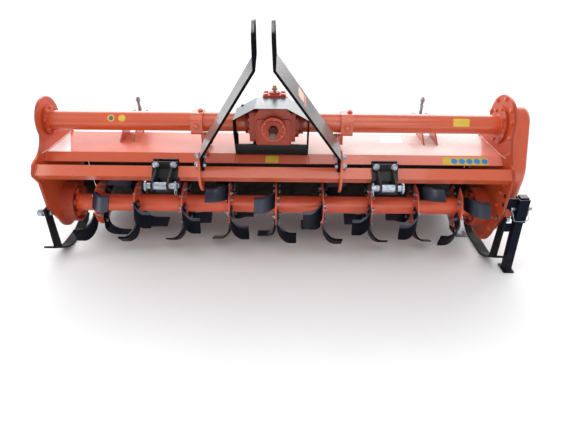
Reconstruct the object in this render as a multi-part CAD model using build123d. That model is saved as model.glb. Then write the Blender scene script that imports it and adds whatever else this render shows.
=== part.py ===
"""Rotary tiller for a tractor's three-point linkage, in millimetres.

Machine axes while the pieces are made: X across the working width, Y to the rear, Z up, with zero on
the rotor's axis at mid width. At the end everything is moved together, so that the origin is the
middle of the footprint on the floor.
"""
from build123d import *
from math import atan2, cos, degrees, hypot, pi, radians, sin, tan
import os

# Frame
INNER = 1165.0            # side plate's inner face, from the middle
PLATE = 12.0              # side plate thickness
OUTER = INNER + PLATE
AXIS_HEIGHT = 262.0       # rotor axis above the floor, with the skids in their low holes
TUBE_Y, TUBE_Z = 20.0, 470.0
TUBE_R = 49.0
BEAM_Y, BEAM_Z = -208.0, 279.0
BEAM_SIDE = 57.0
BEAM_HALF = BEAM_SIDE / 2 ** 0.5
RING_R = {"left": 75.0, "right": 95.0}
RING = 12.0

# Hood
SHEET = 5.0
DECK_Z = 335.0
DECK_REAR_Y = 222.0
HINGE_Y, HINGE_Z = 280.0, 250.0
HINGE_PIN_R = 8.0
KNUCKLE_R = 14.0

# Rotor
ROTOR_R = 48.0
FLANGE_R = 120.0
FLANGE = 8.0
FLANGE_X = (-970, -756, -499, -244, 10, 266, 526, 779, 1015)
TINE_TIP_R = 206.0
TINE = 8.0
PAINT = 0.05               # film between a tine and its flange
TINE_REACH = 112.0
TINE_BEND_R = 75.0
HOUSING = 57.0
HUB_GAP = 6.0
HUB = 14.0

# Drive
BOX_HALF = 125.0          # gearbox, from the middle to the tubes' ends
INPUT_Z = 480.0
GUARD = 3.0
GUARD_X = -10.0           # guard and stand sit this far to one side
EAVE_X, EAVE_Z = 184.0, 535.0
RIDGE_X, RIDGE_Z = 77.0, 592.0
INPUT_Y = -125.0
STUB_R = 17.45
STUB_END_Y = -225.0
CASE_FLANGE = 12.0
CASE = 88.0

# Headstock
HEAD_X = -11.0            # headstock's middle at its foot
TOP_SHIFT = -11.0         # how far the bars' tops hang to one side of that
BAR = 12.0
LUG_X = 337.0             # lug's inner face, bar bolted inside it
MAST_WIDTH = 120.0
MAST_LEAN = 22.5          # degrees forward of upright
MAST_BEND = (-258.0, 380.0)    # y, z of the bar's front edge at its lower bend
UPPER_BEND, MAST_END = 490.0, 662.0    # along the bar from the lower bend
HALF_GAP = {"upper_bend": 34.5, "end": 31.0}
TOP_LINK_R = 12.9
TOP_LINK_ALONG = MAST_END - MAST_WIDTH / 2

# Lower hitch
HITCH_X = 535.0           # pins each side of their middle
HITCH_SHIFT = 10.0        # how far that middle sits to the right
HITCH_PIN_Y, HITCH_PIN_Z = -340.0, 275.0
EAR_GAP = 63.0
EAR = 10.0
SLEEVE_R = 18.0
HITCH_PIN_R = 14.3

# Parking stand
STAND_X, STAND_Y = 1257.0, -232.0    # sleeve's middle at the height of its pin
STAND_LEAN = 2.5          # degrees, foot outwards
LEG_SIDE = 40.0
LEG_TOP_Z = 186.0

# Levelling board rods
ROD_X = {"left": -797.0, "right": 841.0}
ROD_TOP_Z = {"left": 506.0, "right": 521.0}
ROD_R = 8.0
LUG_PIN = (350.0, 130.0)       # y, z
GUIDE = (346.0, 405.0)         # y, z
ROD_TILT = atan2(GUIDE[1] - LUG_PIN[1], LUG_PIN[0] - GUIDE[0])

pieces = {}


def across(face, low_x, high_x):
    """Extrude a face drawn in (y, z) along X."""
    return extrude(Plane.YZ.offset(low_x) * face, amount=high_x - low_x)


def fore_aft(face, low_y, high_y):
    """Extrude a face drawn in (x, z) along Y."""
    plane = Plane(origin=(0, high_y, 0), x_dir=(1, 0, 0), z_dir=(0, -1, 0))
    return extrude(plane * face, amount=high_y - low_y)


def rounded(corners):
    """Face with straight sides; each corner is (first, second, radius)."""
    points = [(a, b) for a, b, radius in corners]
    radii = [radius for a, b, radius in corners]
    return make_face(FilletPolyline(*points, radius=radii, close=True))


def disc(y, z, radius):
    return Pos(y, z) * Circle(radius)


def rod_x(y, z, radius, low_x, high_x):
    """Round bar along X."""
    return across(disc(y, z, radius), low_x, high_x)


def strip(points, thickness):
    """Face of a bent sheet: a line of points and its mitred copy, one thickness to its left."""
    copy = []
    for index, (a, b) in enumerate(points):
        before = points[max(index - 1, 0)]
        after = points[min(index + 1, len(points) - 1)]
        heading_in = atan2(b - before[1], a - before[0]) if index else None
        heading_out = atan2(after[1] - b, after[0] - a) if index < len(points) - 1 else heading_in
        heading_in = heading_out if heading_in is None else heading_in
        half_turn = (heading_out - heading_in) / 2
        left = heading_in + half_turn + pi / 2
        copy.append((a + thickness / cos(half_turn) * cos(left), b + thickness / cos(half_turn) * sin(left)))
    return make_face(Polyline(*points, *reversed(copy), close=True))


def block(low, high):
    """Box from its lowest to its highest corner."""
    size = [b - a for a, b in zip(low, high)]
    middle = [(a + b) / 2 for a, b in zip(low, high)]
    return Pos(*middle) * Box(*size)


def mirrored(shape):
    return mirror(shape, about=Plane.YZ)


# ---- Side plates ---------------------------------------------------------------------------------
# ear_r: round ear at the tube; ear_angle: where its front meets the neck; neck: the neck's deepest
# point; front_y: front edge below the beam; low_r: round end at the rotor bearing
SIDE = {"left": dict(ear_r=118, ear_angle=200, neck=(-112, 388), front_y=-214, low_r=133, nose_low=32),
        "right": dict(ear_r=150, ear_angle=186, neck=(-152, 408), front_y=-251, low_r=185, nose_low=-2)}
NOSE_Y = -252.0


def around(y, z, radius, angle):
    """Point on a circle, angles measured upwards from the rear."""
    return (y + radius * cos(radians(angle)), z + radius * sin(radians(angle)))


def side_outline(ear_r, ear_angle, neck, front_y, low_r, nose_low):
    """Plate from the round ear at the tube down to the round end at the rotor bearing."""
    beam_top, beam_low = BEAM_Z + BEAM_HALF, BEAM_Z - BEAM_HALF
    front_ear, rear_ear = around(TUBE_Y, TUBE_Z, ear_r, ear_angle), around(TUBE_Y, TUBE_Z, ear_r, -40)
    low_front, low_rear = around(0, 0, low_r, 200), around(0, 0, low_r, 315)
    edges = [
        Line((NOSE_Y, BEAM_Z + 10), (NOSE_Y, beam_low + nose_low)),
        Line((NOSE_Y, beam_low + nose_low), (front_y, beam_low - 18)),
        Line((front_y, beam_low - 18), (front_y + 12, 60)), Line((front_y + 12, 60), low_front),
        ThreePointArc(low_front, around(0, 0, low_r, 260), low_rear),
        Line(low_rear, (292, 20)), Line((292, 20), (302, 60)), Line((302, 60), (302, 264)),
        Line((302, 264), (238, 352)), Line((238, 352), rear_ear),
        ThreePointArc(rear_ear, around(TUBE_Y, TUBE_Z, ear_r, 80), front_ear),
        ThreePointArc(front_ear, neck, (-196, beam_top + 18)), Line((-196, beam_top + 18), (-226, beam_top + 6)),
        Line((-226, beam_top + 6), (NOSE_Y, BEAM_Z + 10))]
    return make_face(edges)


beam_face = Pos(BEAM_Y, BEAM_Z) * Rot(0, 0, 45) * Rectangle(BEAM_SIDE, BEAM_SIDE)
pieces["side_plate_left"] = across(side_outline(**SIDE["left"]) - beam_face, -OUTER, -INNER)
pieces["side_plate_right"] = across(side_outline(**SIDE["right"]) - beam_face, INNER, OUTER)

# ---- Main tube, its rings and the front beam -----------------------------------------------------
for side, sign in (("left", -1), ("right", 1)):
    ends = sorted((sign * (INNER - RING), sign * BOX_HALF))
    pieces["main_tube_" + side] = rod_x(TUBE_Y, TUBE_Z, TUBE_R, *ends)
    ring_ends = sorted((sign * INNER, sign * (INNER - RING)))
    pieces["tube_flange_" + side] = rod_x(TUBE_Y, TUBE_Z, RING_R[side], *ring_ends)
pieces["front_beam"] = across(beam_face, -OUTER, OUTER)

# ---- Hood ----------------------------------------------------------------------------------------
hood_line = [(-124, 303), (-76, DECK_Z), (DECK_REAR_Y, DECK_Z), (262, 298), (HINGE_Y - 4, HINGE_Z + 9)]
hood = across(strip(hood_line, -SHEET), -INNER, INNER)
hood_knuckle_x = (-1120, -690, -230, 230, 690, 1120)
board_knuckle_x = (-905, -460, 0, 460, 905)
knuckle = disc(HINGE_Y, HINGE_Z, KNUCKLE_R) - disc(HINGE_Y, HINGE_Z, HINGE_PIN_R)
for x in hood_knuckle_x:
    hood += across(knuckle, x - 30, x + 30)
hood -= rod_x(HINGE_Y, HINGE_Z, HINGE_PIN_R, -INNER, INNER)
for x in board_knuckle_x:
    hood -= rod_x(HINGE_Y, HINGE_Z, KNUCKLE_R + 6, x - 90, x + 90)
pieces["hood"] = hood
pieces["board_hinge_pin"] = rod_x(HINGE_Y, HINGE_Z, HINGE_PIN_R, -INNER, INNER)

# ---- Rear levelling board ------------------------------------------------------------------------
board_line = [(HINGE_Y + 6, HINGE_Z - 12), (312, 120), (332, -30), (366, -150), (438, -235)]
board = across(strip(board_line, SHEET), -INNER + 15, INNER - 15)
board_knuckle = disc(HINGE_Y, HINGE_Z, KNUCKLE_R) - disc(HINGE_Y, HINGE_Z, HINGE_PIN_R + 1)
for x in board_knuckle_x:
    board += across(board_knuckle, x - 84, x + 84)
for x in hood_knuckle_x:
    board -= rod_x(HINGE_Y, HINGE_Z, KNUCKLE_R + 6, x - 36, x + 36)
board -= rod_x(HINGE_Y, HINGE_Z, HINGE_PIN_R + 1, -INNER, INNER)
board_ear = make_face(Polyline((309, 158), (LUG_PIN[0], LUG_PIN[1] + 18), (LUG_PIN[0] + 18, LUG_PIN[1]),
                               (LUG_PIN[0], LUG_PIN[1] - 18), (322, 76), close=True))
for x in ROD_X.values():
    for step in (-17, 17):
        board += across(board_ear, x + step - 4, x + step + 4) - rod_x(*LUG_PIN, 6.2, x - 30, x + 30)
pieces["rear_board"] = board


# ---- Spring rods ---------------------------------------------------------------------------------
def along_rod(shape):
    """Move a shape made along +Z from the lug pin onto the rod's line in the plane X = 0."""
    return Pos(0, *LUG_PIN) * Rot(90 - degrees(ROD_TILT), 0, 0) * shape


GUIDE_DISTANCE = hypot(GUIDE[0] - LUG_PIN[0], GUIDE[1] - LUG_PIN[1])
GUIDE_PLATE = 8.0
for side, x in ROD_X.items():
    rod_length = (ROD_TOP_Z[side] - LUG_PIN[1]) / sin(ROD_TILT)
    eye = rod_x(0, 0, 16, -12, 12) - rod_x(0, 0, 6.1, -13, 13)
    shank = Pos(0, 0, rod_length / 2) * Cylinder(ROD_R, rod_length) - rod_x(0, 0, 15, -20, 20)
    washer_low = Pos(0, 0, GUIDE_DISTANCE + GUIDE_PLATE / 2 + 4) * Cylinder(20, 4)
    nut = Pos(0, 0, rod_length - 22) * extrude(RegularPolygon(14, 6), 14)
    washer_top = Pos(0, 0, rod_length - 25) * Cylinder(16, 3)
    pieces["spring_rod_" + side] = Pos(x, 0, 0) * along_rod(eye + shank + washer_low + nut + washer_top)
    coil_low = GUIDE_DISTANCE + GUIDE_PLATE / 2 + 6
    coil_high = rod_length - 26.5
    coil = Pos(0, 0, (coil_low + coil_high) / 2) * (Cylinder(13, coil_high - coil_low)
                                                   - Cylinder(ROD_R, coil_high - coil_low))
    pieces["spring_" + side] = Pos(x, 0, 0) * along_rod(coil)
    gusset = make_face(Polyline((62, DECK_Z), (DECK_REAR_Y - 8, DECK_Z), (316, 380), (372, 390), (372, 420),
                                (300, 432), (220, 428), (150, 392), close=True))
    guide = across(gusset, x - 40, x - 32) + across(gusset, x + 32, x + 40)
    guide_plate = Pos(0, 0, GUIDE_DISTANCE) * (Box(64, 44, GUIDE_PLATE)
                                               - extrude(SlotOverall(40, 28, rotation=90), 9, both=True))
    guide += Pos(x, 0, 0) * along_rod(guide_plate)
    pieces["rod_guide_" + side] = guide
    pieces["lug_pin_" + side] = rod_x(*LUG_PIN, 6, x - 24, x + 24)

# ---- Gearbox and drive ---------------------------------------------------------------------------
LID_Z = 592.0
box = fore_aft(rounded([(-88, 392, 12), (88, 392, 12), (92, 540, 30), (60, 585, 30), (-60, 585, 30),
                        (-92, 540, 30)]), -100, 118)
box += block((-62, 40, 560), (62, 118, LID_Z))
for sign, cover_x in ((-1, 121), (1, 108)):
    low, high = sorted((sign * 86, sign * cover_x))
    box += across(rounded([(-78, 398, 14), (104, 398, 14), (104, 560, 22), (-78, 560, 22)]), low, high)
    low, high = sorted((sign * 100, sign * BOX_HALF))
    box += rod_x(TUBE_Y, TUBE_Z, 74, low, high)
box += fore_aft(Pos(0, INPUT_Z) * Circle(61), INPUT_Y, -95)
box += fore_aft(Pos(0, INPUT_Z) * Circle(43), INPUT_Y - 8, INPUT_Y)
box -= fore_aft(Pos(0, INPUT_Z) * Circle(24), INPUT_Y - 9, INPUT_Y + 12)
pieces["gearbox"] = box
pieces["gearbox_cover"] = block((-58, 44, LID_Z), (58, 114, LID_Z + 10))
plug = extrude(RegularPolygon(13, 6), 12) + Pos(0, 0, 17) * Cylinder(9, 12)
pieces["breather_plug"] = Pos(0, 80, LID_Z + 10) * plug
stand_bar = rounded([(-180, DECK_Z, 2), (180, DECK_Z, 2), (180, 388, 2), (-180, 388, 2)])
stand_bar = fore_aft(stand_bar, -88, -76) + block((-96, -77, DECK_Z), (96, 118, 388))
pieces["gearbox_stand"] = Pos(GUARD_X, 0, 0) * stand_bar
stub = fore_aft(Pos(0, INPUT_Z) * Circle(STUB_R), STUB_END_Y, INPUT_Y + 12)
for count in range(6):
    groove = Rot(0, 0, 60 * count) * Pos(0, STUB_R) * Rectangle(9.3, 5)
    stub -= fore_aft(Pos(0, INPUT_Z) * groove, STUB_END_Y - 1, STUB_END_Y + 76)
pieces["pto_shaft"] = stub

# ---- Guard over the stub shaft -------------------------------------------------------------------
guard_line = [(-EAVE_X, DECK_Z), (-EAVE_X, EAVE_Z), (-RIDGE_X, RIDGE_Z), (RIDGE_X, RIDGE_Z), (EAVE_X, EAVE_Z),
              (EAVE_X, DECK_Z)]
guard = Pos(GUARD_X, 0, 0) * fore_aft(strip(guard_line, -GUARD), -150, 40)
guard -= rod_x(TUBE_Y, TUBE_Z, TUBE_R + 6, -250, 250)
guard -= across(make_face(Polyline((-151, DECK_Z - 1), (-151, 470), (-84, DECK_Z - 1), close=True)), -250, 250)
pieces["pto_guard"] = guard

# ---- Side gear case ------------------------------------------------------------------------------
def case_outline(tube_r, middle_r, low_r):
    """Hull round the tube, a middle gear and the rotor."""
    return make_hull((disc(TUBE_Y, TUBE_Z, tube_r) + disc(-5, 250, middle_r) + disc(0, 0, low_r)).edges())


case_face = OUTER + CASE_FLANGE + CASE
gear_case = across(case_outline(100, 158, 128), OUTER + CASE_FLANGE, case_face)
gear_case = fillet(gear_case.edges().group_by(Axis.X)[-1], 24)
pieces["gear_case"] = gear_case + across(case_outline(140, 178, 146), OUTER, OUTER + CASE_FLANGE)

# ---- Rotor ---------------------------------------------------------------------------------------
hub_end = INNER - HOUSING - HUB_GAP
for side, sign in (("left", -1), ("right", 1)):
    ends = sorted((sign * INNER, sign * (INNER - HOUSING)))
    housing = rod_x(0, 0, 107, *ends)
    bore = sorted((sign * (INNER - HOUSING + 22), sign * (INNER - HOUSING - 1)))
    pieces["bearing_housing_" + side] = housing - rod_x(0, 0, 36, *bore)
rotor = rod_x(0, 0, ROTOR_R, -hub_end, hub_end)
for sign in (-1, 1):
    rotor += rod_x(0, 0, 56, *sorted((sign * hub_end, sign * (hub_end - HUB))))
    rotor += rod_x(0, 0, 35, *sorted((sign * (hub_end - 1), sign * (INNER - HOUSING + 20))))
for x in FLANGE_X:
    rotor += rod_x(0, 0, FLANGE_R, x - FLANGE / 2, x + FLANGE / 2)
pieces["rotor_tube"] = rotor


def tine():
    """Right-hand tine that points along +Y, on the right face of a flange that is centred on X = 0.

    A bent strip seen from above is cut to the blade's sickle shape seen along the rotor.
    """
    face_x = FLANGE / 2 + PAINT
    foot, tip = 62.0, TINE_TIP_R
    bend = TINE_BEND_R
    inner_bend = bend - TINE
    bent = make_face([
        Line((face_x, foot), (face_x, tip - bend)),
        ThreePointArc((face_x, tip - bend), (face_x + bend * (1 - cos(pi / 4)), tip - bend + bend * sin(pi / 4)),
                      (face_x + bend, tip)),
        Line((face_x + bend, tip), (TINE_REACH, tip)), Line((TINE_REACH, tip), (TINE_REACH, tip - TINE)),
        Line((TINE_REACH, tip - TINE), (face_x + bend, tip - TINE)),
        ThreePointArc((face_x + bend, tip - TINE),
                      (face_x + TINE + inner_bend * (1 - cos(pi / 4)), tip - bend + inner_bend * sin(pi / 4)),
                      (face_x + TINE, tip - bend)),
        Line((face_x + TINE, tip - bend), (face_x + TINE, foot)), Line((face_x + TINE, foot), (face_x, foot))])
    bent = Pos(0, 0, -90) * extrude(bent, 180)
    sickle = make_face([
        Line((foot - 1, -30), (120, -30)), ThreePointArc((120, -30), (174, -20), (tip + 1, 20)),
        Line((tip + 1, 20), (tip + 1, 92)), ThreePointArc((tip + 1, 92), (154, 50), (108, 30)),
        Line((108, 30), (foot - 1, 30)), Line((foot - 1, 30), (foot - 1, -30))])
    return bent & across(sickle, -1, TINE_REACH + 1)


def round_rotor(shape, x, angle):
    """Turn a shape that points along +Y by an angle about the rotor's axis and move it to a flange."""
    return Pos(x, 0, 0) * Rot(angle, 0, 0) * shape


right_tine = tine()
left_tine = mirrored(right_tine)
# flange number: angle of its first right-hand tine, measured upwards from the rear
FIRST_ANGLE = (21, 45, 54, 67, 81, 102, 114, 3, 25)
right_tines, left_tines = [], []
for x, first in zip(FLANGE_X, FIRST_ANGLE):
    for count in range(3):
        right_tines.append(round_rotor(right_tine, x, first + 120 * count))
        left_tines.append(round_rotor(left_tine, x, first + 60 + 120 * count))
pieces["tines_right_hand"] = Compound(right_tines)
pieces["tines_left_hand"] = Compound(left_tines)

# ---- Headstock -----------------------------------------------------------------------------------
# The bar's profile is drawn in the plane of its front edge, as (x, distance up from the lower bend),
# and extruded over the bar's width, so its folds are square across the bar.
lean = radians(MAST_LEAN)
mast_plane = Plane(origin=(0, *MAST_BEND), x_dir=(1, 0, 0), z_dir=(0, -cos(lean), -sin(lean)))


def on_mast(width_step, along_step):
    """(y, z) of a point given by its distances from the bar's front edge and up from the lower bend."""
    return (MAST_BEND[0] + width_step * cos(lean) - along_step * sin(lean),
            MAST_BEND[1] + width_step * sin(lean) + along_step * cos(lean))


top_link = on_mast(MAST_WIDTH / 2, TOP_LINK_ALONG)
foot = [on_mast(0, -92), on_mast(14, -82), on_mast(MAST_WIDTH, 30)]
shoulder = [on_mast(MAST_WIDTH, TOP_LINK_ALONG), on_mast(0, TOP_LINK_ALONG)]
bar_side = make_face(Polyline(*foot, *shoulder, close=True)) + disc(*top_link, MAST_WIDTH / 2)
bar_side -= disc(*top_link, TOP_LINK_R) + beam_face


def mast_bar(top_shift):
    """Right-hand bar, its bends square across it, its ends cut to the bar's side view."""
    profile = [(LUG_X, -95), (LUG_X, 0), (HALF_GAP["upper_bend"] + BAR + top_shift, UPPER_BEND),
               (HALF_GAP["end"] + BAR + top_shift, MAST_END + 5)]
    bent = mast_plane * extrude(strip(profile, BAR), -MAST_WIDTH)
    return bent & across(bar_side, -100, 400)


lug_face = make_face([
    Line((-150, DECK_Z + 3), (60, DECK_Z + 3)), Line((60, DECK_Z + 3), (62, 414)), Line((62, 414), (-22, 414)),
    Line((-22, 414), (-60, 380)), Line((-60, 380), (-236, 372)), Line((-236, 372), (-262, 330)),
    ThreePointArc((-262, 330), (-268, 276), (-206, 184)), Line((-206, 184), (-172, 240)),
    Line((-172, 240), (-150, DECK_Z + 3))])
lug_face -= beam_face
lug_face -= make_face(Polyline((-144, 0), (-144, 290), (-76, DECK_Z), (300, DECK_Z), (300, 0), close=True))
lug = across(lug_face, LUG_X, LUG_X + BAR)
clamp_low, clamp_high = LUG_X + BAR, LUG_X + BAR + 60
clamp = across(disc(TUBE_Y, TUBE_Z, 63), clamp_low, clamp_high)
clamp += across(rounded([(-58, 424, 14), (-20, 424, 6), (10, 532, 6), (-34, 528, 22), (-58, 500, 14)]),
                clamp_low, clamp_high)
tab = make_face(Polyline((-25, 368), (62, 368), (62, 418), (-25, 418), close=True))
clamp += across(tab, clamp_low, clamp_low + 16)
clamp -= rod_x(TUBE_Y, TUBE_Z, TUBE_R, clamp_low - 1, clamp_high + 1)
pieces["mast_bar_right"] = Pos(HEAD_X, 0, 0) * mast_bar(TOP_SHIFT)
pieces["mast_bar_left"] = Pos(HEAD_X, 0, 0) * mirrored(mast_bar(-TOP_SHIFT))
for name, shape in (("mast_lug", lug), ("tube_clamp", clamp)):
    pieces[name + "_right"] = Pos(HEAD_X, 0, 0) * shape
    pieces[name + "_left"] = Pos(HEAD_X, 0, 0) * mirrored(shape)

# ---- Lower hitch ---------------------------------------------------------------------------------
reach = BEAM_HALF
front_clamp = make_face(Polyline(
    (-12, reach + 30), (-22, reach + 30), (-22, reach - 7.9), (-reach - 14.1, 0), (-22, 7.9 - reach),
    (-22, -reach - 30), (-12, -reach - 30), (-12, 12 - reach), (-reach, 0), (-12, reach - 12), close=True))
front_clamp = Pos(BEAM_Y, BEAM_Z) * front_clamp
rear_clamp = Pos(2 * BEAM_Y, 0) * mirror(front_clamp, about=Plane.YZ)
hitch_ear = make_face(Polyline((BEAM_Y - 22, BEAM_Z + 52), (HITCH_PIN_Y - 8, HITCH_PIN_Z + 23),
                               (HITCH_PIN_Y, HITCH_PIN_Z - 24), (BEAM_Y - 22, BEAM_Z - 56), close=True))
hitch_ear += disc(HITCH_PIN_Y, HITCH_PIN_Z, 24)
behind_clamp = make_face(Polyline((-22, reach + 60), (-22, reach - 7.9), (-reach - 14.1, 0), (-22, 7.9 - reach),
                                  (-22, -reach - 60), (60, 0), close=True))
hitch_ear -= Pos(BEAM_Y, BEAM_Z) * behind_clamp
hitch_ear -= disc(HITCH_PIN_Y, HITCH_PIN_Z, HITCH_PIN_R)
bracket = across(front_clamp, -63, 63) + across(rear_clamp, -63, 63)
for sign in (-1, 1):
    bracket += across(hitch_ear, *sorted((sign * EAR_GAP / 2, sign * (EAR_GAP / 2 + EAR))))
pin = rod_x(HITCH_PIN_Y, HITCH_PIN_Z, HITCH_PIN_R, -64, 78)
pin += rod_x(HITCH_PIN_Y, HITCH_PIN_Z, 25, -72, -64)
pin += rod_x(HITCH_PIN_Y, HITCH_PIN_Z, SLEEVE_R, -EAR_GAP / 2, EAR_GAP / 2)
for side, sign in (("left", -1), ("right", 1)):
    spot = Pos(sign * HITCH_X + HITCH_SHIFT, 0, 0)
    pieces["hitch_bracket_" + side] = spot * bracket
    pieces["hitch_pin_" + side] = spot * (pin if sign < 0 else mirrored(pin))

# ---- Skids ---------------------------------------------------------------------------------------
SHOE = 58.0
SKID_FRONT = {"left": -222.0, "right": -265.0}     # y of the front arm
floor_z = -AXIS_HEIGHT
rear_arm = make_face(Polyline((165, 100), (213, 100), (213, floor_z + 42), (165, floor_z + 16), close=True))
for side, front in SKID_FRONT.items():
    shoe_line = [(front - 14, floor_z + 104), (front + 104, floor_z + 28), (front + 178, floor_z),
                 (124, floor_z), (196, floor_z + 22), (232, floor_z + 58)]
    front_arm = make_face(Polyline((front, 72), (front + 52, 72), (front + 62, floor_z + 58), (front, floor_z + 98),
                                   close=True))
    skid = across(strip(shoe_line, 10), OUTER, OUTER + SHOE)
    skid += across(front_arm, OUTER, OUTER + 10) + across(rear_arm, OUTER, OUTER + 10)
    pieces["skid_" + side] = skid if side == "right" else mirrored(skid)

# ---- Parking stand -------------------------------------------------------------------------------
SLEEVE_OUT, SLEEVE_IN = 52.0, 42.4
SLEEVE_LOW, SLEEVE_HIGH = 44.0, 176.0
PIN_Z = 115.0
FOOT_HALF = 28.0


def leaning(shape):
    """Lean a shape outwards about the sleeve's middle."""
    centre = Pos(STAND_X, STAND_Y, PIN_Z)
    return centre * Rot(0, -STAND_LEAN, 0) * centre.inverse() * shape


sleeve_middle = (SLEEVE_LOW + SLEEVE_HIGH) / 2
sleeve = leaning(Pos(STAND_X, STAND_Y, sleeve_middle) * Box(SLEEVE_OUT, SLEEVE_OUT, SLEEVE_HIGH - SLEEVE_LOW))
sleeve += block((OUTER, STAND_Y - 4, 78), (STAND_X - 12, STAND_Y + 4, 172))
sleeve += block((OUTER, STAND_Y - 4, 78), (OUTER + 8, STAND_Y + 36, 172))
sleeve -= leaning(Pos(STAND_X, STAND_Y, sleeve_middle) * Box(SLEEVE_IN, SLEEVE_IN, 400))
stand_pin = leaning(rod_x(STAND_Y, PIN_Z, 7, STAND_X + SLEEVE_IN / 2, STAND_X + SLEEVE_OUT / 2 + 28))
pieces["stand_bracket"] = sleeve - stand_pin
pieces["stand_pin"] = stand_pin
leg = leaning(block((STAND_X - LEG_SIDE / 2, STAND_Y - LEG_SIDE / 2, floor_z - 50),
                    (STAND_X + LEG_SIDE / 2, STAND_Y + LEG_SIDE / 2, LEG_TOP_Z)))
leg -= Pos(STAND_X, STAND_Y, floor_z + 8 - 200) * Box(400, 400, 400)
foot_x = STAND_X + (PIN_Z - floor_z) * tan(radians(STAND_LEAN))
leg += block((foot_x - FOOT_HALF, STAND_Y - 40, floor_z), (foot_x + FOOT_HALF, STAND_Y + 40, floor_z + 8))
pieces["stand_leg"] = leg

# ---- Everything to the floor's middle, and out ---------------------------------------------------
boxes = [shape.bounding_box() for shape in pieces.values()]
shift_x = -(min(box.min.X for box in boxes) + max(box.max.X for box in boxes)) / 2
shift_y = -(min(box.min.Y for box in boxes) + max(box.max.Y for box in boxes)) / 2
print("machine origin in the row frame, mm:", round(shift_x, 3), round(shift_y, 3), AXIS_HEIGHT)
print("top link hole, y and z:", *(round(value, 2) for value in top_link))
os.makedirs("parts", exist_ok=True)
for name, shape in pieces.items():
    export_step(Pos(shift_x, shift_y, AXIS_HEIGHT) * shape, "parts/" + name + ".step")
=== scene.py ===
"""Rotary tiller for a tractor's three-point linkage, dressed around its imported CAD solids."""
import bpy
import numpy as np
from math import cos, pi, radians, sin
from mathutils import Matrix, Vector


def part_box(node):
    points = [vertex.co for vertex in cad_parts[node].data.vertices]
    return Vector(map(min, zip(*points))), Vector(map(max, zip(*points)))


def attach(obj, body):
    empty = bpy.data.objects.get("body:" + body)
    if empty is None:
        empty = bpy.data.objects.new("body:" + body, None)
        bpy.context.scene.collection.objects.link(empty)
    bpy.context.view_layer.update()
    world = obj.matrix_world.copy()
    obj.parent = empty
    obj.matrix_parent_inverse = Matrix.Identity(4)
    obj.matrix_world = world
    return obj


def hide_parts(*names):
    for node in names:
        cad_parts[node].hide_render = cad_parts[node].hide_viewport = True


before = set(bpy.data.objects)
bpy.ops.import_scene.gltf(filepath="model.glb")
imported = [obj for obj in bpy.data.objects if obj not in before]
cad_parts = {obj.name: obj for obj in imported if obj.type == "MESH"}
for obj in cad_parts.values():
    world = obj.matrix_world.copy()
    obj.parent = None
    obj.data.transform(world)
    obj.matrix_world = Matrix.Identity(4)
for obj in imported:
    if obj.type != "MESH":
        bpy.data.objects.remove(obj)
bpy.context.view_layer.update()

# ---- Camera, light and floor -----------------------------------------------------------------------
# A standing person's view from in front of the headstock, a little right of the middle. Places here
# and below are in the machine's own axes: X across the working width, Y to the rear, Z up, in
# millimetres, with zero on the rotor's axis at mid width.
rotor_low, rotor_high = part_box("rotor_tube")
beam_low, beam_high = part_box("front_beam")
MIDDLE = np.array([(beam_low.x + beam_high.x) / 2, (rotor_low.y + rotor_high.y) / 2,
                   (rotor_low.z + rotor_high.z) / 2])


def place(points):
    """Machine millimetres to the row frame's metres: the machine's middle plus a thousandth of each."""
    return MIDDLE + np.asarray(points, float) / 1000


CAMERA_AT = (82, -2270, 1240)
pitch, yaw, roll = radians(30.2), radians(-0.1), radians(0.6)
forward = Vector((sin(yaw) * cos(pitch), cos(yaw) * cos(pitch), -sin(pitch)))
level = Vector((cos(yaw), -sin(yaw), 0))
above = level.cross(forward)
camera_x = cos(roll) * level + sin(roll) * above
camera_y = -sin(roll) * level + cos(roll) * above
camera_at = place(CAMERA_AT)
camera_rows = [[camera_x[i], camera_y[i], -forward[i], camera_at[i]] for i in range(3)]
lens = bpy.data.cameras.new("camera")
lens.sensor_width, lens.lens = 36.0, 28.575
camera = bpy.data.objects.new("camera", lens)
camera.matrix_world = Matrix(camera_rows + [[0, 0, 0, 1]])
bpy.context.scene.collection.objects.link(camera)
bpy.context.scene.camera = camera
bpy.context.scene.view_settings.view_transform = "Standard"

# Overcast sky, brightest low behind the machine, so that wet-looking paint mirrors it from above.
SKY_TINT = (0.97, 0.98, 1.0, 1)
GLOW = 3.6
sky = bpy.data.worlds.new("overcast_sky")
sky.use_nodes = True
bpy.context.scene.world = sky
sky_nodes, sky_links = sky.node_tree.nodes, sky.node_tree.links
ray_way, ray_parts = sky_nodes.new("ShaderNodeTexCoord"), sky_nodes.new("ShaderNodeSeparateXYZ")
sky_links.new(ray_way.outputs["Generated"], ray_parts.inputs[0])


def sky_range(axis, low, high, start, end):
    """A smooth step of one part of the ray's direction: start up to low, end from high on."""
    turn = sky_nodes.new("ShaderNodeMapRange")
    turn.interpolation_type = "SMOOTHSTEP"
    for socket, value in zip(("From Min", "From Max", "To Min", "To Max"), (low, high, start, end)):
        turn.inputs[socket].default_value = value
    sky_links.new(ray_parts.outputs[axis], turn.inputs["Value"])
    return turn.outputs["Result"]


def sky_math(kind, first, second):
    """Two values of the sky added or multiplied."""
    step = sky_nodes.new("ShaderNodeMath")
    step.operation = kind
    for socket, value in zip(step.inputs, (first, second)):
        if isinstance(value, float):
            socket.default_value = value
        else:
            sky_links.new(value, socket)
    return step.outputs[0]


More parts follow.
